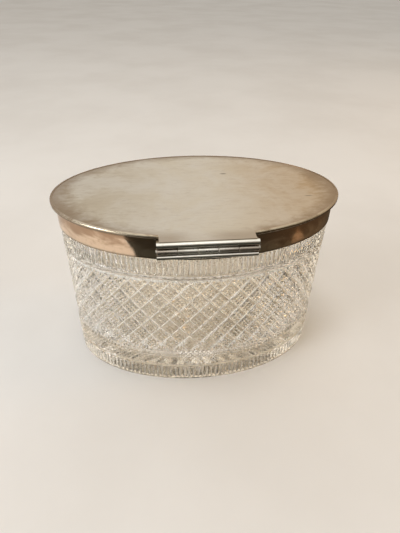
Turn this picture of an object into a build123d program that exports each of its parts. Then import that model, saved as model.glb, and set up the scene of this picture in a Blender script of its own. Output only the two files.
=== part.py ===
from build123d import *
import os

# Oval cut-glass powder jar with a silver-plated collar and a flat hinged lid.
# Millimetres. The origin is the centre of the flat base, +Z is up, X is the long axis of the oval,
# and the hinge is on the -Y side. Ovals are true ellipses, given by their two half-axes.

# --- driving dimensions -------------------------------------------------------------------------
total_height = 92.2            # floor to the top of the lid
lid_half_x = 70.0              # lid oval, half the long axis
lid_half_y = 43.4              # lid oval, half the short axis
lid_overhang = 2.1             # lid edge beyond the collar, which is what a finger lifts

plate_thickness = 1.3
plate_sink = 0.1               # top of the plate below the top of the edge wire
wire_width = 1.2               # bead round the lid's edge
wire_height = 1.6
wire_edge_radius = 0.48
bezel_thickness = 1.2          # ring under the lid that drops into the mouth
bezel_depth = 1.8
bezel_clearance = 0.6          # lets the bezel swing out past the mouth ring
lid_gap = 0.15                 # lid to mouth ring, closed

collar_height = 11.6
collar_thickness = 1.2
collar_edge_radius = 0.4       # rolled lower edge of the collar
mouth_ring_thickness = 1.2
mouth_ring_width = 6.9
mouth_ring_edge_radius = 0.48
liner_thickness = 0.8
liner_depth = 7.5
cement_thickness = 0.8

glass_inset = 0.5              # cut glass inside the collar's outer oval
glass_wall = 4.8
glass_floor = 8.0
neck_gap_to_ring = 0.45        # cement over the top of the glass neck
base_band_top = 10.0
small_band_top = 22.2
diamond_band_top = 66.4
plain_band_top = 69.2
groove_width = 0.8
groove_depth = 0.6
base_chamfer = 0.5

hinge_half_length = 21.1       # half the length of the hinge along X
hinge_y = -46.0
pivot_below_top = 4.8
lid_bar_above_pivot = 3.1
base_bar_below_pivot = 2.8
lid_bar_radius = 1.25
base_bar_radius = 1.05         # thinner and nearer the knuckles than the lid's bar
knuckle_radius = 1.3
knuckle_count = 5
knuckle_gap = 0.12
knuckle_chamfer = 0.2          # broken ends of each knuckle, which show the joints between them
pin_radius = 0.6
running_clearance = 0.05
pin_head_radius = 1.15
pin_head_length = 0.35
knuckle_web = 0.9
tab_half_width = 20.0
tab_root_y = -34.7             # well inside the lid's oval
seat_gap = 0.3                 # hinge seat behind the turning knuckles
seat_bite = 3.3                # how far the seat's block runs back, before the collar is taken out
ledge_setback = 0.2            # front of the seat's ledge behind the middle of the base bar

# --- derived heights and ovals ------------------------------------------------------------------
plate_top = total_height - plate_sink
plate_bottom = plate_top - plate_thickness
collar_top = plate_bottom - lid_gap
collar_bottom = collar_top - collar_height
ring_bottom = collar_top - mouth_ring_thickness
neck_top = ring_bottom - neck_gap_to_ring

collar_half = (lid_half_x - lid_overhang, lid_half_y - lid_overhang)
pivot_z = total_height - pivot_below_top
lid_bar_z = pivot_z + lid_bar_above_pivot
base_bar_z = pivot_z - base_bar_below_pivot


def inset(half, distance):
    """The two half-axes of an oval, reduced by a distance."""
    return half[0] - distance, half[1] - distance


def oval(half, bottom, top):
    """A solid oval drum between two heights."""
    face = Plane.XY.offset(bottom) * Ellipse(half[0], half[1])
    return extrude(face, top - bottom)


def oval_ring(outer, thickness, bottom, top):
    """An oval drum with its middle taken out."""
    return oval(outer, bottom, top) - oval(inset(outer, thickness), bottom, top)


def rod(radius, start_x, end_x, z):
    """A round rod along X on the hinge line."""
    axis = Plane((start_x, hinge_y, z), x_dir=(0, 1, 0), z_dir=(1, 0, 0))
    return extrude(axis * Circle(radius), end_x - start_x)


def block(x_range, y_range, z_range):
    """A rectangular block between two limits along each axis."""
    low = (x_range[0], y_range[0], z_range[0])
    size = [limits[1] - limits[0] for limits in (x_range, y_range, z_range)]
    return Pos(*low) * Box(*size, align=(Align.MIN, Align.MIN, Align.MIN))


# --- jar: glass, cement, collar -----------------------------------------------------------------
glass_half = inset(collar_half, glass_inset)
cavity_half = inset(glass_half, glass_wall)
collar_inner = inset(collar_half, collar_thickness)
neck_half = inset(collar_inner, cement_thickness)
mouth_half = inset(collar_half, mouth_ring_width)


def make_glass_body():
    """Thick oval bowl: cut bands parted by grooves, and a rebated neck that the collar hides."""
    body = oval(glass_half, 0, collar_bottom)
    body = chamfer(body.edges().group_by(Axis.Z)[0], base_chamfer)
    for band_top in (base_band_top, small_band_top, diamond_band_top, plain_band_top):
        body -= oval_ring(glass_half, groove_depth, band_top, band_top + groove_width)
    body += oval(neck_half, collar_bottom, neck_top)
    return body - oval(cavity_half, glass_floor, neck_top)


def make_collar_cement():
    """Plaster that beds the collar on the glass neck."""
    bed = oval_ring(collar_inner, glass_wall, collar_bottom + cement_thickness, ring_bottom)
    hole = oval(cavity_half, collar_bottom, ring_bottom)
    return bed - hole - oval(neck_half, collar_bottom, neck_top)


def make_collar_band():
    """Upright silver-plated band round the mouth, with a rolled lower edge."""
    band = oval_ring(collar_half, collar_thickness, collar_bottom, ring_bottom)
    outer_bottom_edge = band.edges().group_by(Axis.Z)[0].sort_by(SortBy.LENGTH)[-1]
    return fillet(outer_bottom_edge, collar_edge_radius)


def make_collar_mouth_ring():
    """Flat ring that closes the top of the collar and covers the glass edge."""
    ring = oval_ring(collar_half, mouth_ring_width, ring_bottom, collar_top)
    outer_top_edge = ring.edges().group_by(Axis.Z)[-1].sort_by(SortBy.LENGTH)[-1]
    return fillet(outer_top_edge, mouth_ring_edge_radius)


def make_collar_liner():
    """Thin wall inside the mouth that keeps powder off the cement."""
    outer = inset(mouth_half, -liner_thickness)
    return oval_ring(outer, liner_thickness, ring_bottom - liner_depth, ring_bottom)


# --- hinge --------------------------------------------------------------------------------------
knuckle_pitch = 2 * hinge_half_length / knuckle_count
seat_front = hinge_y + knuckle_radius + seat_gap


def knuckle_span(index):
    """The X limits of one knuckle, counted from the left."""
    start = -hinge_half_length + index * knuckle_pitch
    return start + knuckle_gap / 2, start + knuckle_pitch - knuckle_gap / 2


def make_hinge_base_bar():
    """Bar along the foot of the hinge."""
    return rod(base_bar_radius, -hinge_half_length, hinge_half_length, base_bar_z)


def make_hinge_seat(collar_oval, base_bar):
    """Block between the curved collar and the straight hinge, with a ledge that carries the bar."""
    span = (-hinge_half_length, hinge_half_length)
    back = -collar_half[1] + seat_bite
    ledge = (base_bar_z - base_bar_radius, base_bar_z + base_bar_radius)
    seat = block(span, (seat_front, back), (ledge[0], collar_top - lid_gap))
    seat += block(span, (hinge_y + ledge_setback, seat_front), ledge)
    return seat - collar_oval - base_bar


def knuckle_barrel(index):
    """The round body of one knuckle, with broken ends."""
    barrel = rod(knuckle_radius, *knuckle_span(index), pivot_z)
    return chamfer(barrel.edges().filter_by(GeomType.CIRCLE), knuckle_chamfer)


def make_collar_knuckle(index):
    """Fixed knuckle, soldered back to the seat. The pin is tight in it."""
    start, end = knuckle_span(index)
    tube = knuckle_barrel(index)
    tube += block((start, end), (hinge_y, seat_front), (pivot_z - knuckle_web, pivot_z + knuckle_web))
    return tube - rod(pin_radius, start, end, pivot_z)


def make_hinge_pin():
    """Pin through all the knuckles, with a flattened head at each end."""
    pin = rod(pin_radius, -hinge_half_length, hinge_half_length, pivot_z)
    for start in (-hinge_half_length - pin_head_length, hinge_half_length):
        head = rod(pin_head_radius, start, start + pin_head_length, pivot_z)
        pin += head
    return pin


def make_lid_hinge_bar():
    """Bar along the lid's side of the hinge."""
    return rod(lid_bar_radius, -hinge_half_length, hinge_half_length, lid_bar_z)


def make_lid_knuckle(index, lid_bar):
    """Moving knuckle, hung from the lid bar by a web."""
    start, end = knuckle_span(index)
    tube = knuckle_barrel(index)
    web_y = (hinge_y - knuckle_web / 2, hinge_y + knuckle_web / 2)
    tube += block((start, end), web_y, (pivot_z, lid_bar_z))
    return tube - rod(pin_radius + running_clearance, start, end, pivot_z) - lid_bar


# --- lid ----------------------------------------------------------------------------------------
lid_half = (lid_half_x, lid_half_y)
plate_half = inset(lid_half, wire_width)
tab_reach = (hinge_y, tab_root_y)


def make_tab(bottom, top):
    """Straight-sided tongue from the oval out to the hinge."""
    return block((-tab_half_width, tab_half_width), tab_reach, (bottom, top))


def make_lid_plate(lid_bar):
    """Flat oval plate with its hinge tab."""
    plate = oval(plate_half, plate_bottom, plate_top) + make_tab(plate_bottom, plate_top)
    return plate - lid_bar


def make_lid_edge_wire():
    """Rounded bead round the plate, open where the hinge tab leaves the oval."""
    bottom = total_height - wire_height
    wire = oval_ring(lid_half, wire_width, bottom, total_height)
    outer_edges = wire.edges().sort_by(SortBy.LENGTH)[-2:]
    wire = fillet(outer_edges, wire_edge_radius)
    return wire - make_tab(bottom, total_height)


def make_lid_bezel():
    """Ring under the plate that drops inside the mouth and centres the lid."""
    outer = inset(mouth_half, bezel_clearance)
    return oval_ring(outer, bezel_thickness, plate_bottom - bezel_depth, plate_bottom)


# --- assembly -----------------------------------------------------------------------------------
base_bar = make_hinge_base_bar()
lid_bar = make_lid_hinge_bar()
knuckle_sides = ("left", "left", "centre", "right", "right")

nodes = {
    "glass_body": make_glass_body(),
    "collar_cement": make_collar_cement(),
    "collar_band": make_collar_band(),
    "collar_mouth_ring": make_collar_mouth_ring(),
    "collar_liner": make_collar_liner(),
    "hinge_seat": make_hinge_seat(oval(collar_half, collar_bottom, collar_top), base_bar),
    "hinge_base_bar": base_bar,
    "hinge_pin": make_hinge_pin(),
    "lid_plate": make_lid_plate(lid_bar),
    "lid_edge_wire": make_lid_edge_wire(),
    "lid_bezel": make_lid_bezel(),
    "lid_hinge_bar": lid_bar,
}
for index, side in enumerate(knuckle_sides):
    if index % 2:
        nodes[f"lid_knuckle_{side}"] = make_lid_knuckle(index, lid_bar)
    else:
        nodes[f"collar_knuckle_{side}"] = make_collar_knuckle(index)

os.makedirs("parts", exist_ok=True)
for name, shape in nodes.items():
    shape.label = name
    export_step(shape, f"parts/{name}.step")
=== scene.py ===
import math

import bpy
import numpy as np
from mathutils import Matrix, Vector


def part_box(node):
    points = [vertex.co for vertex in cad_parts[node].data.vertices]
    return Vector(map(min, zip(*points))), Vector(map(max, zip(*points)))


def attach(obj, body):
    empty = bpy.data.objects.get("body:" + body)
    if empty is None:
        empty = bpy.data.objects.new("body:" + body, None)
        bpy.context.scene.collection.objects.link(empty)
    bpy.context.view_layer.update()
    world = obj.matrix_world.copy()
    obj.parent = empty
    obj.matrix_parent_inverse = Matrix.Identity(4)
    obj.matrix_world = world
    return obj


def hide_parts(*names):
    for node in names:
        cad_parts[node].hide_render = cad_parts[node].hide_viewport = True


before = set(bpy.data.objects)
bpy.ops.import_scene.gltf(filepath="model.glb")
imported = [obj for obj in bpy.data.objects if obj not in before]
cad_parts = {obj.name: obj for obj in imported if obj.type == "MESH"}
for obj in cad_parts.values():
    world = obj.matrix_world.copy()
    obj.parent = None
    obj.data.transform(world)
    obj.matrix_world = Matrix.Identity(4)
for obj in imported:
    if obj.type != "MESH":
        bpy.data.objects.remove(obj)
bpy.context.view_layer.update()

# Oval cut-glass powder jar. Metres, +Z up, origin at the centre of the base, hinge towards -Y.
MM = 0.001
JAR = "jar"


# --- sizes taken from the frame -----------------------------------------------------------------
def half_sizes(node):
    """Half the X and Y extents of a node's box."""
    low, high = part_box(node)
    return (high.x - low.x) / 2, (high.y - low.y) / 2


glass_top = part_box("glass_body")[1].z
collar_low, collar_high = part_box("collar_band")
glass_half = half_sizes("glass_body")
collar_half = half_sizes("collar_band")
lid_half_x = half_sizes("lid_edge_wire")[0]
lid_half_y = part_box("lid_edge_wire")[1].y
lid_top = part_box("lid_edge_wire")[1].z


# --- camera -------------------------------------------------------------------------------------
IMAGE_HEIGHT = 533
FOCAL_LENGTH = 420       # in the units of the image height
SENSOR = 36
CLIP_START = 0.005
CAMERA_AT = Vector((-20.3, -186.8, 183.9)) * MM
CAMERA_LOOK = Vector((0.0964, 0.7988, -0.5939))
CAMERA_ROLL = math.radians(1.21)


def add_camera():
    """Camera close above the hinge side, looking down at the lid."""
    data = bpy.data.cameras.new("camera")
    data.sensor_fit = "VERTICAL"
    data.sensor_height = SENSOR
    data.lens = SENSOR * FOCAL_LENGTH / IMAGE_HEIGHT
    data.clip_start = CLIP_START
    camera = bpy.data.objects.new("camera", data)
    bpy.context.collection.objects.link(camera)
    camera.location = CAMERA_AT
    camera.rotation_euler = CAMERA_LOOK.to_track_quat("-Z", "Y").to_euler()
    camera.rotation_euler.rotate_axis("Z", CAMERA_ROLL)
    bpy.context.scene.camera = camera


add_camera()


# --- node-tree helpers --------------------------------------------------------------------------
class Tree:
    """Short calls for building one material's nodes."""

    def __init__(self, name):
        self.material = bpy.data.materials.new(name)
        self.material.use_nodes = True
        self.nodes = self.material.node_tree.nodes
        self.links = self.material.node_tree.links
        self.shader = self.nodes["Principled BSDF"]
        self.place = self.nodes.new("ShaderNodeTexCoord").outputs["Object"]

    def put(self, socket, value):
        """Links an output, or sets a plain value."""
        if isinstance(value, bpy.types.NodeSocket):
            self.links.new(value, socket)
        else:
            socket.default_value = value

    def set(self, **values):
        """Sets the shader's sockets by name, with _ for a space."""
        for name, value in values.items():
            self.put(self.shader.inputs[name.replace("_", " ")], value)

    def math(self, operation, a, b=0.0):
        node = self.nodes.new("ShaderNodeMath")
        node.operation = operation
        self.put(node.inputs[0], a)
        self.put(node.inputs[1], b)
        return node.outputs[0]

    def plus(self, a, b):
        return self.math("ADD", a, b)

    def minus(self, a, b):
        return self.math("SUBTRACT", a, b)

    def times(self, a, b):
        return self.math("MULTIPLY", a, b)

    def distance(self, a, b):
        """How far apart two values are."""
        return self.math("ABSOLUTE", self.minus(a, b))

    def squared_share(self, value, whole):
        """The square of a value's share of the whole."""
        return self.math("POWER", self.math("DIVIDE", value, whole), 2.0)

    def attribute(self, name):
        """A value stored on the mesh's points."""
        node = self.nodes.new("ShaderNodeAttribute")
        node.attribute_name = name
        return node.outputs["Fac"]

    def axes(self):
        """The X, Y and Z of the object coordinates."""
        node = self.nodes.new("ShaderNodeSeparateXYZ")
        self.put(node.inputs[0], self.place)
        return node.outputs[0], node.outputs[1], node.outputs[2]

    def stretched(self, scale):
        """Object coordinates scaled along each axis."""
        node = self.nodes.new("ShaderNodeMapping")
        self.put(node.inputs["Vector"], self.place)
        node.inputs["Scale"].default_value = scale
        return node.outputs["Vector"]

    def noise(self, scale, detail=3.0, roughness=0.55, vector=None, distortion=0.0):
        node = self.nodes.new("ShaderNodeTexNoise")
        self.put(node.inputs["Vector"], vector or self.place)
        node.inputs["Scale"].default_value = scale
        node.inputs["Detail"].default_value = detail
        node.inputs["Roughness"].default_value = roughness
        node.inputs["Distortion"].default_value = distortion
        return node.outputs["Fac"]

    def span(self, value, low, high, to_low=0.0, to_high=1.0):
        """Maps one range on to another, clamped, with a soft start and end."""
        node = self.nodes.new("ShaderNodeMapRange")
        node.interpolation_type = "SMOOTHSTEP"
        self.put(node.inputs["Value"], value)
        node.inputs["From Min"].default_value = low
        node.inputs["From Max"].default_value = high
        node.inputs["To Min"].default_value = to_low
        node.inputs["To Max"].default_value = to_high
        return node.outputs["Result"]

    def mix(self, share, a, b):
        """A colour between two others."""
        node = self.nodes.new("ShaderNodeMix")
        node.data_type = "RGBA"
        self.put(node.inputs[0], share)
        for socket, value in ((node.inputs[6], a), (node.inputs[7], b)):
            self.put(socket, (*value, 1.0) if isinstance(value, tuple) else value)
        return node.outputs[2]

    def bump(self, height, strength, distance):
        node = self.nodes.new("ShaderNodeBump")
        node.inputs["Strength"].default_value = strength
        node.inputs["Distance"].default_value = distance
        self.put(node.inputs["Height"], height)
        self.put(self.shader.inputs["Normal"], node.outputs["Normal"])


# --- metal --------------------------------------------------------------------------------------
SILVER = (0.735, 0.69, 0.61)
CLOUDED_SILVER = (0.70, 0.635, 0.52)
OLIVE_SILVER = (0.57, 0.49, 0.37)
WARM_SILVER = (0.53, 0.385, 0.235)
EDGE_SILVER = (0.66, 0.57, 0.44)
BRIGHT_HINGE_SILVER = (0.90, 0.87, 0.80)
DULL_SILVER = (0.66, 0.58, 0.44)
MOUTH_SILVER = (0.76, 0.66, 0.54)
INNER_SILVER = (0.82, 0.76, 0.66)
SEAT_SILVER = (0.60, 0.54, 0.45)
PIN_SILVER = (0.78, 0.73, 0.65)
PEACH = (0.86, 0.66, 0.49)
COPPER = (0.48, 0.32, 0.21)
BROWN_END_SHADE = (0.34, 0.27, 0.21)
WARM_TARNISH_AND_SHADE = (0.30, 0.21, 0.13)
DARK_TARNISH_AND_SHADE = (0.12, 0.09, 0.06)

BRUSHING_DEPTH = 0.06 * MM
POLISH_DEPTH = 0.05 * MM
HINGE_POLISH_DEPTH = 0.04 * MM

DENT = (15.5 * MM, 17.5 * MM)          # small dent in the lid
DENT_REACH = (2.2 * MM, 1.0 * MM)
SCRATCH = (53.0 * MM, -10.5 * MM)      # short scratch near the lid's right end
SCRATCH_REACH = (2.6 * MM, 0.5 * MM)
HINGE_HIGHLIGHT_X = -2.5 * MM                   # where the painted highlight on the hinge is brightest
LIGHTEST_TAB_X = -3 * MM              # where the brown on the lid's tab is lightest


def mark(t, at, reach):
    """1 in the middle of a small oval mark, falling to 0 at its edge."""
    x, y, _ = t.axes()
    across = t.squared_share(t.minus(x, at[0]), reach[0])
    along = t.squared_share(t.minus(y, at[1]), reach[1])
    return t.span(t.plus(across, along), 1.0, 0.0)


def lid_wear(t):
    """The dent and the scratch, on the lid's top face only."""
    _, _, z = t.axes()
    worn = t.math("MAXIMUM", mark(t, DENT, DENT_REACH), mark(t, SCRATCH, SCRATCH_REACH))
    return t.times(worn, t.span(z, lid_top - 0.8 * MM, lid_top - 0.4 * MM))


def tint_lid_ends(t, colour, smudge):
    """Turns the colour olive towards the lid's left end, and browner towards its right end."""
    x, _, _ = t.axes()
    left = t.span(x, -0.10 * lid_half_x, -0.80 * lid_half_x)
    right = t.span(x, 0.05 * lid_half_x, 0.85 * lid_half_x)
    colour = t.mix(t.times(left, t.span(smudge, 0.42, 0.60, 0.45, 1.0)), colour, OLIVE_SILVER)
    return t.mix(t.times(right, t.span(smudge, 0.40, 0.60, 0.60, 1.0)), colour, WARM_SILVER)


def lid_rim_tarnish(t, smudge):
    """Share of tarnish near the lid's outline. It mostly spares the hinge tab."""
    x, y, _ = t.axes()
    to_end = t.squared_share(x, lid_half_x)
    radius = t.math("SQRT", t.plus(to_end, t.squared_share(y, lid_half_y)))
    radius = t.plus(t.plus(radius, t.times(smudge, 0.42)), t.times(to_end, 0.07))
    off_tab = t.span(t.plus(t.math("ABSOLUTE", x), t.times(y, 0.4)), 4 * MM, 9 * MM, 0.15, 1.0)
    return t.times(t.span(radius, 1.05, 1.26, 0.0, 0.85), off_tab)


def lid_tab_brown(t, smudge):
    """Share of brown on the tab, growing towards the hinge and lightest in the middle."""
    x, y, _ = t.axes()
    by_hinge = t.span(t.plus(y, t.times(smudge, 12 * MM)), -0.70 * lid_half_y, -0.86 * lid_half_y)
    aside = t.span(t.distance(x, LIGHTEST_TAB_X), 1 * MM, 13 * MM, 0.05, 1.0)
    return t.times(by_hinge, t.times(aside, 0.42))


def lid_metal():
    """Satin silver plate, lightly brushed along X, clouded with tarnish that is darkest at the rim."""
    t = Tree("lid_satin_plate")
    brushing = t.noise(1.0, 4.0, 0.75, t.stretched((120, 1500, 1500)))
    grain = t.noise(1.0, 5.0, 0.7, t.stretched((160, 420, 420)), distortion=0.5)
    clouds = t.noise(34.0, 7.0, 0.66, distortion=0.6)
    smudge = t.plus(t.times(clouds, 0.65), t.times(grain, 0.35))
    worn = lid_wear(t)
    colour = t.mix(t.span(clouds, 0.35, 0.70), SILVER, CLOUDED_SILVER)
    colour = tint_lid_ends(t, colour, smudge)
    colour = t.mix(lid_rim_tarnish(t, smudge), colour, WARM_TARNISH_AND_SHADE)
    colour = t.mix(lid_tab_brown(t, smudge), colour, WARM_TARNISH_AND_SHADE)
    colour = t.mix(t.span(grain, 0.48, 0.80, 0.0, 0.22), colour, WARM_TARNISH_AND_SHADE)
    colour = t.mix(t.span(brushing, 0.48, 0.85, 0.0, 0.20), colour, WARM_TARNISH_AND_SHADE)
    colour = t.mix(t.times(worn, 0.6), colour, DARK_TARNISH_AND_SHADE)
    rough = t.plus(t.span(clouds, 0.3, 0.7, 0.25, 0.36), t.times(brushing, 0.08))
    t.set(Base_Color=colour, Metallic=1.0, Roughness=rough)
    height = t.minus(t.plus(brushing, t.times(clouds, 1.5)), t.times(worn, 3.0))
    t.bump(height, 0.5, BRUSHING_DEPTH)
    return t.material


def polished_metal(name, base, tarnish, amount, rough):
    """Polished silver plate with mottled tarnish and wipe marks."""
    t = Tree(name)
    mottle = t.noise(1.0, 6.0, 0.62, t.stretched((70, 70, 140)), distortion=1.2)
    fine = t.noise(420.0, 4.0, 0.6)
    streaks = t.noise(1.0, 3.0, 0.6, t.stretched((60, 60, 700)))
    colour = t.mix(t.span(mottle, 0.42, 0.62, 0.0, amount), base, tarnish)
    colour = t.mix(t.span(fine, 0.50, 0.80, 0.0, 0.35 * amount), colour, tarnish)
    colour = t.mix(t.span(streaks, 0.5, 0.8, 0.0, 0.30), colour, DARK_TARNISH_AND_SHADE)
    t.set(Base_Color=colour, Metallic=1.0, Roughness=t.span(mottle, 0.3, 0.7, rough, rough + 0.08))
    t.bump(t.noise(150.0, 2.0), 0.12, POLISH_DEPTH)
    return t.material


def collar_metal():
    """Collar plate with a coppery bloom in blotches and peach lower down. It is browner towards the top and
    dark along both edges: painted shade under the lid and at the edges.
    """
    t = Tree("collar_plate")
    _, _, z = t.axes()
    mottle = t.noise(1.0, 6.0, 0.62, t.stretched((60, 60, 130)), distortion=1.0)
    fine = t.noise(380.0, 5.0, 0.65)
    up = t.math("DIVIDE", t.minus(z, collar_low.z), collar_high.z - collar_low.z)
    # Browner towards the top: painted shade under the lid's overhang, on top of the real blotches.
    brown = t.plus(t.times(up, 0.35), mottle)
    colour = t.mix(t.span(brown, 0.55, 0.80), PEACH, COPPER)
    colour = t.mix(t.span(fine, 0.48, 0.75, 0.0, 0.45), colour, COPPER)
    # Painted shade: a dark line along the lower edge, and darker just under the lid.
    colour = t.mix(t.span(up, 0.14, 0.03, 0.0, 0.75), colour, DARK_TARNISH_AND_SHADE)
    colour = t.mix(t.span(up, 0.90, 1.0, 0.0, 0.5), colour, DARK_TARNISH_AND_SHADE)
    t.set(Base_Color=colour, Metallic=1.0, Roughness=t.span(mottle, 0.3, 0.7, 0.05, 0.13))
    t.bump(t.noise(150.0, 2.0), 0.12, POLISH_DEPTH)
    return t.material


def edge_metal():
    """Bead round the lid, mottled with tarnish: lighter on top, and darker below, round the back and at
    both ends, which is painted shade.
    """
    t = Tree("edge_plate")
    x, y, z = t.axes()
    mottle = t.noise(1.0, 5.0, 0.6, t.stretched((90, 90, 200)), distortion=0.8)
    colour = t.mix(t.span(mottle, 0.40, 0.65, 0.0, 0.7), EDGE_SILVER, WARM_TARNISH_AND_SHADE)
    # Painted shade: darker round the back, at both ends and on the bead's lower half.
    colour = t.mix(t.span(y, -0.30 * lid_half_y, 0.10 * lid_half_y, 0.0, 0.8), colour, WARM_TARNISH_AND_SHADE)
    colour = t.mix(t.span(x, 0.70 * lid_half_x, 0.90 * lid_half_x, 0.0, 0.8), colour, WARM_TARNISH_AND_SHADE)
    colour = t.mix(t.span(x, -0.80 * lid_half_x, -0.95 * lid_half_x, 0.0, 0.8), colour, WARM_TARNISH_AND_SHADE)
    colour = t.mix(t.span(z, lid_top - 0.55 * MM, lid_top - 1.1 * MM, 0.0, 0.8), colour, DARK_TARNISH_AND_SHADE)
    t.set(Base_Color=colour, Metallic=1.0, Roughness=t.span(mottle, 0.3, 0.7, 0.16, 0.28))
    t.bump(t.noise(300.0, 3.0), 0.15, POLISH_DEPTH)
    return t.material


def hinge_metal(name, ends, rough):
    """Polished plate of the hinge, bright in the middle and browner towards the ends: a painted highlight
    and painted shade.
    """
    t = Tree(name)
    x, _, _ = t.axes()
    mottle = t.noise(1.0, 5.0, 0.6, t.stretched((260, 500, 500)), distortion=0.8)
    from_middle = t.plus(t.distance(x, HINGE_HIGHLIGHT_X), t.times(mottle, 9 * MM))
    colour = t.mix(t.span(mottle, 0.45, 0.75, 0.0, 0.30), BRIGHT_HINGE_SILVER, DULL_SILVER)
    # Painted shade towards the ends, which leaves a painted highlight in the middle.
    colour = t.mix(t.span(from_middle, 7 * MM, 20 * MM, 0.0, ends), colour, BROWN_END_SHADE)
    t.set(Base_Color=colour, Metallic=1.0, Roughness=t.span(mottle, 0.3, 0.7, rough, rough + 0.08))
    t.bump(t.noise(500.0, 3.0), 0.15, HINGE_POLISH_DEPTH)
    return t.material


# --- plaster and glass --------------------------------------------------------------------------
PLASTER = (0.75, 0.71, 0.63)
PLASTER_SHADE = (0.66, 0.61, 0.52)
PLASTER_GLOW = (0.70, 0.65, 0.56, 1.0)
PLASTER_GLOW_STRENGTH = 0.8
PLASTER_GRAIN = 0.1 * MM
CLEAR = (0.965, 0.935, 0.88)
CLEAR_WORN = (0.95, 0.915, 0.855)
GRIME_AND_SHADE = (0.50, 0.46, 0.37)
FROSTED_HIGHLIGHT = (0.98, 0.965, 0.93)
DULLED = "dulled"        # mesh attribute: 1 where a cut or a point is dull and whitened as a painted highlight, -1 where grime and painted shade sit


def plaster():
    """Grainy plaster. It is given a glow, in place of the light that the glass neck would pipe up to it."""
    t = Tree("plaster")
    grain = t.noise(900.0, 4.0)
    t.set(Base_Color=t.mix(grain, PLASTER, PLASTER_SHADE), Roughness=0.9)
    t.set(Emission_Color=PLASTER_GLOW, Emission_Strength=PLASTER_GLOW_STRENGTH)
    t.bump(grain, 0.4, PLASTER_GRAIN)
    return t.material


def cut_glass():
    """Clear lead glass, faintly warm. Deep cuts and rubbed points are dull and whitened, which is partly a
    painted highlight, and fine cuts hold grime and painted shade.
    """
    t = Tree("cut_glass")
    wear = t.noise(160.0, 3.0)
    surface = t.attribute(DULLED)
    broken = t.span(t.noise(420.0, 2.0), 0.32, 0.55, 0.35, 1.0)
    line = t.times(t.span(surface, 0.35, 0.90), broken)
    clear = t.mix(wear, CLEAR, CLEAR_WORN)
    # Darker in the fine cuts and flute hollows: grime and painted shade.
    clear = t.mix(t.span(surface, -0.25, -0.85), clear, GRIME_AND_SHADE)
    # Whiter and less clear where dull: a painted highlight along the cuts and points.
    t.set(Base_Color=t.mix(line, clear, FROSTED_HIGHLIGHT), IOR=1.52)
    t.set(Roughness=t.plus(t.span(wear, 0.3, 0.7, 0.04, 0.09), t.times(line, 0.25)))
    t.set(Transmission_Weight=t.minus(0.97, t.times(line, 0.62)))
    return t.material


# --- glass body ---------------------------------------------------------------------------------
COLUMNS = 288            # round the oval; 8 to a large diamond, 2 to a flute
LARGE_STEPS = 8          # grid steps across a large diamond, in both directions
FLUTE_STEPS = 4          # points across a flute, in the rings of twice as many points
PATTERN_TURN = -2        # columns from the middle of the hinge side to a groove crossing
CROSSING_ROW = 3         # grid rows from the foot of the diamond band to a groove crossing
SMALL_ROWS = 8
DIAMOND_ROWS = 32
GLINT_FACET_ROWS = (2, 3, 4)   # low in the band, one side of each rising groove is dulled and whitened: painted glints

# Heights up the outer wall, from the floor.
FOOT_TOP = 0.5 * MM
BASE_FLUTES = (1.2 * MM, 9.8 * MM)
BASE_BAND_TOP = 10.0 * MM
SMALL_BAND_FOOT = 11.4 * MM
SMALL_BAND_TOP = 20.8 * MM
SMALL_BAND_GROOVE = 21.4 * MM
DIAMOND_FOOT = 22.0 * MM
DIAMOND_TOP = 66.0 * MM
RING_GROOVE = 66.7 * MM
RING_TOP = 67.4 * MM
NECK_GROOVE = (68.2 * MM, 69.6 * MM)
NECK_FOOT = collar_low.z - 0.05 * MM
TOP_FLUTES = (69.8 * MM, NECK_FOOT)

# Depths of the cuts.
FOOT_INSET = 0.6 * MM
GROOVE_DEPTH = 1.2 * MM
FINE_DEPTH = 0.55 * MM
SMALL_DEPTH = 0.95 * MM
MITRE_DEPTH = 1.0 * MM
BASE_FLUTE_DEPTH = 0.6 * MM
BASE_RUN_OUT = 0.8 * MM
TOP_FLUTE_DEPTH = 0.9 * MM
TOP_RUN_OUT = 0.9 * MM
CUT_UNEVEN = 0.035 * MM

# How dull and whitened each kind of cut is, as a painted highlight, or how much grime and painted shade it
# holds if negative.
DULL_GROOVE = 1.0
DULL_MITRE = 0.9
DULL_FLUTE_RIDGE = 0.9
GRIME_AND_SHADE_FLUTE = -0.7
DULL_FINE_POINT = 0.95
DULL_SMALL_POINT = 0.55
GRIME_AND_SHADE_CUT = -1.0

WALL = 4.8 * MM
WELL_FLOOR = 8.0 * MM
WELL_RADIUS = 6.0 * MM
WELL_RINGS = 12
WELL_CORNER_RINGS = 8
NECK_INSET = 2.0 * MM
STAR_RIM = (0.88, 0.84)      # shares of the oval's half-axes
STAR_MIDDLE = (0.45, 0.42)
STAR_DEPTH = 1.4 * MM
STAR_RIDGE = 0.2 * MM
OUTLINE_SAMPLES = 20001


def oval_outline(half_x, half_y, count=COLUMNS):
    """Points evenly spaced along an ellipse and its outward normals, from the middle of the -Y side."""
    fine = np.linspace(-np.pi / 2, 1.5 * np.pi, OUTLINE_SAMPLES)
    x, y = half_x * np.cos(fine), half_y * np.sin(fine)
    run = np.concatenate(([0.0], np.cumsum(np.hypot(np.diff(x), np.diff(y)))))
    angle = np.interp(np.arange(count) * run[-1] / count, run, fine)
    points = np.column_stack((half_x * np.cos(angle), half_y * np.sin(angle)))
    normals = np.column_stack((np.cos(angle) / half_x, np.sin(angle) / half_y))
    return points, normals / np.linalg.norm(normals, axis=1)[:, None]


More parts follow.
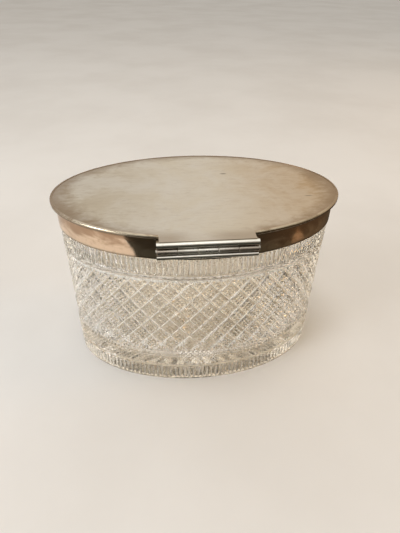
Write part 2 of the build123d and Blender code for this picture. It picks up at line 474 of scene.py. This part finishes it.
class RingMesh:
    """A surface made of rings of points, joined in order."""

    def __init__(self):
        self.points = []
        self.dulled = []
        self.faces = []
        self.smooth = []
        self.last = None

    def ring(self, flat, heights, dulled=0.0):
        """Adds one ring of points and returns their numbers."""
        first = len(self.points)
        heights = np.broadcast_to(heights, (len(flat),))
        self.points += [(x, y, z) for (x, y), z in zip(flat, heights)]
        self.dulled += list(np.broadcast_to(dulled, (len(flat),)))
        return list(range(first, first + len(flat)))

    def face(self, corners, smooth=False):
        self.faces.append(tuple(corners))
        self.smooth.append(smooth)

    def join(self, low, high, smooth=False, phase=0):
        """Quads between two rings, or triangles split one way and the other in turn."""
        for i in range(len(low)):
            a, b = low[i], low[(i + 1) % len(low)]
            c, d = high[(i + 1) % len(high)], high[i]
            if smooth:
                self.face((a, b, c, d), True)
            elif (i + phase) % 2 == 0:
                self.face((a, b, c))
                self.face((a, c, d))
            else:
                self.face((a, b, d))
                self.face((b, c, d))

    def join_finer(self, coarse, fine, fine_above):
        """Joins a ring to one of twice as many points."""
        for i in range(len(coarse)):
            a, b = coarse[i], coarse[(i + 1) % len(coarse)]
            c, d, e = fine[2 * i], fine[2 * i + 1], fine[(2 * i + 2) % len(fine)]
            for corners in ((a, d, c), (a, b, d), (b, e, d)):
                self.face(corners if fine_above else corners[::-1])

    def join_crossed(self, low, high, middle):
        """Four triangles to each quad, round a middle point."""
        for i in range(len(low)):
            corners = (low[i], low[(i + 1) % len(low)], high[(i + 1) % len(high)], high[i])
            for k in range(4):
                self.face((corners[k], corners[(k + 1) % 4], middle[i]))

    def add(self, ring, smooth=False, phase=0):
        """Joins a ring to the last one, which may have half or twice its points."""
        if len(ring) > len(self.last):
            self.join_finer(self.last, ring, True)
        elif len(ring) < len(self.last):
            self.join_finer(ring, self.last, False)
        else:
            self.join(self.last, ring, smooth, phase)
        self.last = ring

    def cap(self, ring, middle_point, smooth, downward):
        """A fan from a ring to one point."""
        middle = len(self.points)
        self.points.append(middle_point)
        self.dulled.append(0.0)
        for i in range(len(ring)):
            a, b = ring[i], ring[(i + 1) % len(ring)]
            self.face((b, a, middle) if downward else (a, b, middle), smooth)

    def build(self, name, material):
        mesh = bpy.data.meshes.new(name)
        mesh.from_pydata(self.points, [], self.faces)
        mesh.polygons.foreach_set("use_smooth", self.smooth)
        mesh.materials.append(material)
        mesh.attributes.new(DULLED, "FLOAT", "POINT").data.foreach_set("value", self.dulled)
        mesh.validate()
        mesh.update()
        piece = bpy.data.objects.new(name, mesh)
        bpy.context.collection.objects.link(piece)
        return piece


OUTLINE, NORMAL = oval_outline(*glass_half)
FINE_OUTLINE, FINE_NORMAL = oval_outline(*glass_half, 2 * COLUMNS)
MIDDLE_OUTLINE = (OUTLINE + np.roll(OUTLINE, -1, axis=0)) / 2
MIDDLE_NORMAL = FINE_NORMAL[1::2]
PATTERN_COLUMNS = np.arange(COLUMNS) - PATTERN_TURN
HAND = np.random.default_rng(11)


def cut_ring(mesh, z, depth, dulled=0.0, outline=OUTLINE, normal=NORMAL):
    """A ring of the outer wall, cut in by a depth at each point, a little unevenly, as if by hand."""
    depth = np.broadcast_to(depth, (len(outline),))
    uneven = HAND.uniform(-CUT_UNEVEN, CUT_UNEVEN, len(outline)) * (depth > 0)
    return mesh.ring(outline - normal * (depth + uneven)[:, None], z, dulled)


def cut_flutes(mesh, band, depth, run_out):
    """Round hollow flutes side by side, with sharp ridges between them."""
    foot, top = band
    across = np.arange(2 * COLUMNS) % FLUTE_STEPS / FLUTE_STEPS
    hollow = depth * (1 - (2 * across - 1) ** 2)
    ridge = np.where(across == 0, DULL_FLUTE_RIDGE, np.where(across == 0.5, GRIME_AND_SHADE_FLUTE, 0.0))
    for z, share in ((foot, 0), (foot + run_out, 1), (top - run_out, 1), (top, 0)):
        mesh.add(cut_ring(mesh, z, hollow * share, ridge * share, FINE_OUTLINE, FINE_NORMAL))


def cut_mitre(mesh, foot, top):
    """One V groove round the jar, from the last ring at its foot."""
    mesh.add(cut_ring(mesh, (foot + top) / 2, MITRE_DEPTH, DULL_MITRE))
    mesh.add(cut_ring(mesh, top, 0))


def cut_small_diamonds(mesh):
    """A fine lattice of small pointed diamonds."""
    step = (SMALL_BAND_TOP - SMALL_BAND_FOOT) / SMALL_ROWS
    for row in range(1, SMALL_ROWS + 1):
        hollow = np.where((PATTERN_COLUMNS + row) % 2, 0.0, SMALL_DEPTH)
        dulled = np.where(hollow > 0, GRIME_AND_SHADE_CUT, DULL_SMALL_POINT)
        mesh.add(cut_ring(mesh, SMALL_BAND_FOOT + row * step, hollow, dulled), phase=row)


def diamond_cut(column, row):
    """Depth and dullness at a grid point: deep grooves round diamonds with finely cut tops."""
    u = (column + row) / LARGE_STEPS
    v = (column - row) / LARGE_STEPS
    to_groove = np.minimum(np.abs(u - np.round(u)), np.abs(v - np.round(v))) * LARGE_STEPS
    fine_u = np.abs((u * LARGE_STEPS + 1) % 2 - 1)
    fine_v = np.abs((v * LARGE_STEPS + 1) % 2 - 1)
    top = FINE_DEPTH * np.maximum(fine_u, fine_v)
    depth = np.where(to_groove < 1, GROOVE_DEPTH - (GROOVE_DEPTH - FINE_DEPTH) * to_groove, top)
    in_fine_cut = (column == np.round(column)) & (to_groove > 1)
    dulled = np.where(top == 0, DULL_FINE_POINT, np.where(in_fine_cut, GRIME_AND_SHADE_CUT, 0.0))
    return depth, np.where(to_groove == 0, DULL_GROOVE, dulled)


def dull_row(level, row, dulled):
    """The dullness of one row of the diamond band, with its facets whitened as painted glints and its dull
    top edge.
    """
    if row == DIAMOND_ROWS:
        return DULL_GROOVE
    if row in GLINT_FACET_ROWS:
        return np.where((PATTERN_COLUMNS - level) % LARGE_STEPS < 2, DULL_GROOVE, dulled)
    return dulled


def cut_large_diamonds(mesh):
    """Strawberry diamonds: the wide band round the middle of the jar."""
    step = (DIAMOND_TOP - DIAMOND_FOOT) / DIAMOND_ROWS
    mesh.add(cut_ring(mesh, DIAMOND_FOOT, *diamond_cut(PATTERN_COLUMNS, -CROSSING_ROW)))
    for row in range(1, DIAMOND_ROWS + 1):
        level = row - CROSSING_ROW
        depth, dulled = diamond_cut(PATTERN_COLUMNS, level)
        ring = cut_ring(mesh, DIAMOND_FOOT + row * step, depth, dull_row(level, row, dulled))
        z = DIAMOND_FOOT + (row - 0.5) * step
        between = diamond_cut(PATTERN_COLUMNS + 0.5, level - 0.5)
        middle = cut_ring(mesh, z, *between, MIDDLE_OUTLINE, MIDDLE_NORMAL)
        mesh.join_crossed(mesh.last, ring, middle)
        mesh.last = ring


def make_neck_and_well(mesh):
    """The neck under the collar, and the smooth well down to its rounded floor."""
    neck = oval_outline(collar_half[0] - NECK_INSET, collar_half[1] - NECK_INSET)[0]
    mesh.add(mesh.ring(neck, NECK_FOOT))
    mesh.add(mesh.ring(neck, glass_top), smooth=True)
    well = [(z, 0.0) for z in np.linspace(glass_top, WELL_FLOOR + WELL_RADIUS, WELL_RINGS)]
    for angle in np.linspace(0, math.pi / 2, WELL_CORNER_RINGS + 1)[1:]:
        height = WELL_FLOOR + WELL_RADIUS * (1 - math.sin(angle))
        well.append((height, WELL_RADIUS * (1 - math.cos(angle))))
    for z, inset in well:
        outline = oval_outline(glass_half[0] - WALL - inset, glass_half[1] - WALL - inset)[0]
        mesh.add(mesh.ring(outline, z), smooth=z < glass_top)
    mesh.cap(mesh.last, (0, 0, WELL_FLOOR), True, False)


def cut_star(mesh, foot):
    """The many-pointed star cut in the base: four rim points to each valley or ridge point."""
    rim = mesh.ring(oval_outline(glass_half[0] * STAR_RIM[0], glass_half[1] * STAR_RIM[1])[0], 0.0)
    mesh.join(rim, foot)
    inner_half = (glass_half[0] * STAR_MIDDLE[0], glass_half[1] * STAR_MIDDLE[1])
    inner = oval_outline(*inner_half, COLUMNS // 4)[0]
    middle = mesh.ring(inner, np.where(np.arange(len(inner)) % 2, STAR_RIDGE, STAR_DEPTH))
    for i, a in enumerate(middle):
        b = middle[(i + 1) % len(middle)]
        run = [rim[(4 * i + k) % COLUMNS] for k in range(5)]
        for k in range(4):
            mesh.face((a if k < 2 else b, run[k + 1], run[k]))
        mesh.face((b, run[2], a))
    mesh.cap(middle, (0, 0, STAR_DEPTH), False, True)


def make_glass():
    """Thick glass wall with cut bands outside, a smooth well inside and a star under the base."""
    mesh = RingMesh()
    foot = cut_ring(mesh, 0.0, FOOT_INSET)
    mesh.last = foot
    mesh.add(cut_ring(mesh, FOOT_TOP, 0))
    cut_flutes(mesh, BASE_FLUTES, BASE_FLUTE_DEPTH, BASE_RUN_OUT)
    mesh.add(cut_ring(mesh, BASE_BAND_TOP, 0))
    cut_mitre(mesh, BASE_BAND_TOP, SMALL_BAND_FOOT)
    cut_small_diamonds(mesh)
    mesh.add(cut_ring(mesh, SMALL_BAND_GROOVE, MITRE_DEPTH, DULL_MITRE))
    cut_large_diamonds(mesh)
    mesh.add(cut_ring(mesh, RING_GROOVE, MITRE_DEPTH, DULL_GROOVE))
    mesh.add(cut_ring(mesh, RING_TOP, 0, DULL_GROOVE))
    mesh.add(cut_ring(mesh, NECK_GROOVE[0], 0))
    cut_mitre(mesh, *NECK_GROOVE)
    cut_flutes(mesh, TOP_FLUTES, TOP_FLUTE_DEPTH, TOP_RUN_OUT)
    make_neck_and_well(mesh)
    cut_star(mesh, foot)
    return mesh.build("glass_cut_body", cut_glass())


glass = make_glass()
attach(glass, JAR)
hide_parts("glass_body")
glass.visible_shadow = False


# --- materials on the CAD nodes -----------------------------------------------------------------
def dress(material, *nodes):
    """Gives CAD nodes a finished material."""
    for name in nodes:
        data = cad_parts[name].data
        data.materials.clear()
        data.materials.append(material)


knuckles = [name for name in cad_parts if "knuckle" in name]
dress(lid_metal(), "lid_plate")
dress(collar_metal(), "collar_band")
dress(polished_metal("mouth_plate", MOUTH_SILVER, COPPER, 0.6, 0.10), "collar_mouth_ring")
dress(edge_metal(), "lid_edge_wire")
dress(polished_metal("inner_plate", INNER_SILVER, WARM_TARNISH_AND_SHADE, 0.4, 0.14), "collar_liner", "lid_bezel")
dress(hinge_metal("hinge_bar_plate", 0.15, 0.09), "hinge_base_bar", "lid_hinge_bar")
dress(hinge_metal("knuckle_plate", 0.80, 0.26), *knuckles)
dress(polished_metal("seat_plate", SEAT_SILVER, WARM_TARNISH_AND_SHADE, 0.6, 0.20), "hinge_seat")
dress(polished_metal("pin_metal", PIN_SILVER, DARK_TARNISH_AND_SHADE, 0.5, 0.22), "hinge_pin")
dress(plaster(), "collar_cement")


# --- floor, cards, light ------------------------------------------------------------------------
FLOOR_PALE = (0.77, 0.765, 0.75)
FLOOR_SHADE = (0.72, 0.71, 0.69)
FLOOR_REACH = 4.0
FLOOR_DROP = 0.1 * MM
CARD_BLACK = (0.014, 0.017, 0.012)
CARD_GREY = (0.03, 0.032, 0.024)
CARD_BROWN = (0.10, 0.075, 0.045)
PATCH_LIGHT = (0.36, 0.26, 0.17)
PATCH_DARK = (0.26, 0.18, 0.11)
BACK_LEFT = (1.0, 0.96, 0.90)
BACK_RIGHT = (1.0, 0.88, 0.70)
BACK_STRENGTH = 1.55
CEILING_MIDDLE = (1.0, 1.0, 0.96)
CEILING_SIDES = (0.45, 0.44, 0.40)
CEILING_STRENGTH = 1.3
GLASS_SHADE = (0.40, 0.35, 0.265)
SHADE_COLUMNS = 96
BLACK = (0, 0, 0, 1)
WORLD_LEFT = (0.97, 0.96, 0.95)
WORLD_RIGHT = (1.0, 0.85, 0.66)
WORLD_FRONT = 0.35
WORLD_BACK = 0.80
JAR_MIDDLE = (0, 0, 0.05)

# Corners of the cards, in millimetres.
DARK_EDGE_BY_JAR = [(-136, -136), (-105, -131), (-90, -118), (-60, -118), (-45, -52), (55, -52)]
DARK_EDGE_RIGHT = [(110, -90), (130, 0), (135, 130)]
DARK_EDGE_FAR = [(300, 500), (900, 500), (900, -700), (-150, -700)]
UPRIGHT_CARD = [(-260, -600, 1), (900, -600, 1), (900, -600, 150), (-260, -600, 150)]
LIGHT_PATCH = [(185, -77, 2), (177, -47, 2), (156, -83, 2)]
BACK_CARD = [(-900, 160, 1), (900, 160, 1), (900, 410, 600), (-900, 410, 600)]
CEILING_CARD = [(-1800, -1500, 1200), (1800, -1500, 1200), (1800, 500, 1200), (-1800, 500, 1200)]


def add_plane(name, corners, material):
    """One flat face that is not part of the object."""
    mesh = bpy.data.meshes.new(name)
    mesh.from_pydata([tuple(corner) for corner in corners], [], [tuple(range(len(corners)))])
    mesh.materials.append(material)
    plane = bpy.data.objects.new(name, mesh)
    bpy.context.collection.objects.link(plane)
    return plane


def add_floor():
    """A pale floor with no gloss, so that it doesn't mirror the cards."""
    t = Tree("floor_pale")
    t.set(Base_Color=t.mix(t.span(t.noise(6.0, 5.0), 0.35, 0.7), FLOOR_PALE, FLOOR_SHADE))
    t.set(Roughness=0.9, Specular_IOR_Level=0.0)
    corners = ((-1, -1), (1, -1), (1, 1), (-1, 1))
    add_plane("floor", [(x * FLOOR_REACH, y * FLOOR_REACH, -FLOOR_DROP) for x, y in corners], t.material)


def add_card(name, corners, material, glossy, transmission):
    """A card that only reflections, or only rays through the glass, can see."""
    card = add_plane(name, [Vector(corner) * MM for corner in corners], material)
    card.visible_camera = False
    card.visible_diffuse = False
    card.visible_shadow = False
    card.visible_glossy = glossy
    card.visible_transmission = transmission


def add_dark_cards():
    """Black on the floor and upright in front, like a person standing there: the darks in the metal."""
    t = Tree("card_black")
    dark = t.mix(t.noise(5.0), CARD_BLACK, CARD_GREY)
    t.set(Base_Color=t.mix(t.span(t.axes()[0], 0.06, 0.22), dark, CARD_BROWN), Roughness=1.0)
    outline = DARK_EDGE_BY_JAR + DARK_EDGE_RIGHT + DARK_EDGE_FAR
    add_card("card_floor", [(x, y, 1.0) for x, y in outline], t.material, True, False)
    add_card("card_upright", UPRIGHT_CARD, t.material, True, False)


def add_light_patch():
    """A dim warm triangle on the dark floor card, which shows in the right of the collar."""
    t = Tree("card_patch")
    t.set(Base_Color=t.mix(t.noise(20.0), PATCH_LIGHT, PATCH_DARK), Roughness=1.0)
    add_card("card_patch", LIGHT_PATCH, t.material, True, False)


def add_back_card():
    """A bright sheet behind the jar, which lights the glass from behind."""
    t = Tree("card_bright")
    t.set(Base_Color=BLACK, Specular_IOR_Level=0.0)
    to_right = t.span(t.axes()[0], -0.35, 0.35)
    t.set(Emission_Color=t.mix(to_right, BACK_LEFT, BACK_RIGHT), Emission_Strength=BACK_STRENGTH)
    add_card("card_back", BACK_CARD, t.material, False, True)


def add_ceiling_card():
    """A pale ceiling, brightest in the middle, that only reflections see: light bands along the hinge."""
    t = Tree("card_ceiling")
    t.set(Base_Color=BLACK, Specular_IOR_Level=0.0)
    to_side = t.span(t.math("ABSOLUTE", t.axes()[0]), 0.0, 0.9)
    t.set(Emission_Color=t.mix(to_side, CEILING_MIDDLE, CEILING_SIDES))
    t.set(Emission_Strength=CEILING_STRENGTH)
    add_card("card_ceiling", CEILING_CARD, t.material, True, False)


def shade_material():
    """Grey that dims the light passing through it."""
    material = bpy.data.materials.new("shade_grey")
    material.use_nodes = True
    tree = material.node_tree
    grey = tree.nodes.new("ShaderNodeBsdfTransparent")
    grey.inputs["Color"].default_value = (*GLASS_SHADE, 1)
    tree.links.new(grey.outputs[0], tree.nodes["Material Output"].inputs["Surface"])
    return material


def add_glass_shade():
    """A grey drum in the glass wall, seen by shadow rays only: the glass lets part of the light past."""
    material = shade_material()
    points = oval_outline(glass_half[0] - WALL / 2, glass_half[1] - WALL / 2, SHADE_COLUMNS)[0]
    mesh = RingMesh()
    mesh.join(mesh.ring(points, FOOT_TOP), mesh.ring(points, NECK_FOOT), smooth=True)
    drum = mesh.build("glass_shade", material)
    drum.visible_camera = False
    drum.visible_diffuse = False
    drum.visible_glossy = False
    drum.visible_transmission = False


def add_area(name, at, aim, size, power, colour, diffuse=True, glossy=True):
    """A round soft light, which may be left out of diffuse light or of reflections."""
    data = bpy.data.lights.new(name, "AREA")
    data.shape = "DISK"
    data.size = size
    data.energy = power
    data.color = colour
    light = bpy.data.objects.new(name, data)
    bpy.context.collection.objects.link(light)
    light.location = at
    light.rotation_euler = (Vector(aim) - Vector(at)).to_track_quat("-Z", "Y").to_euler()
    light.visible_diffuse = diffuse
    light.visible_glossy = glossy


def towards(tree, vector, start, end, low, high):
    """A value that goes from low to high as the world's direction turns towards the given one."""
    dot = tree.nodes.new("ShaderNodeVectorMath")
    dot.operation = "DOT_PRODUCT"
    dot.inputs[1].default_value = Vector(vector).normalized()
    tree.links.new(tree.nodes["direction"].outputs["Generated"], dot.inputs[0])
    span = tree.nodes.new("ShaderNodeMapRange")
    span.interpolation_type = "SMOOTHSTEP"
    tree.links.new(dot.outputs["Value"], span.inputs["Value"])
    ranges = {"From Min": start, "From Max": end, "To Min": low, "To Max": high}
    for name, value in ranges.items():
        span.inputs[name].default_value = value
    return span.outputs[0]


def add_world():
    """Soft room light: bright behind, dimmer in front, warm on the right."""
    world = bpy.data.worlds.new("studio")
    bpy.context.scene.world = world
    world.use_nodes = True
    tree = world.node_tree
    tree.nodes.new("ShaderNodeTexCoord").name = "direction"
    walls = tree.nodes.new("ShaderNodeMix")
    walls.data_type = "RGBA"
    walls.inputs[6].default_value = (*WORLD_LEFT, 1)
    walls.inputs[7].default_value = (*WORLD_RIGHT, 1)
    background = tree.nodes["Background"]
    strength = towards(tree, (0, 1, 0.3), -0.6, 0.7, WORLD_FRONT, WORLD_BACK)
    tree.links.new(towards(tree, (1, 0, 0), -0.5, 0.8, 0.0, 1.0), walls.inputs[0])
    tree.links.new(walls.outputs[2], background.inputs["Color"])
    tree.links.new(strength, background.inputs["Strength"])


bpy.context.scene.view_settings.view_transform = "Standard"
add_floor()
add_dark_cards()
add_light_patch()
add_back_card()
add_ceiling_card()
add_glass_shade()
add_area("ceiling", (-0.1, -0.1, 1.0), JAR_MIDDLE, 0.35, 2.4, (1.0, 0.95, 0.88), glossy=False)
add_area("lamp_right", (1.0, 0.0, 0.45), (0.3, 0, 0.0), 0.4, 2.1, (1.0, 0.58, 0.22), glossy=False)
add_area("window_left", (-0.95, -0.40, 0.75), JAR_MIDDLE, 0.5, 5, (0.97, 0.98, 1.0))
add_area("sparkle", (-0.98, -0.60, 0.20), JAR_MIDDLE, 0.4, 1.8, (1.0, 0.99, 0.96), diffuse=False)
add_world()
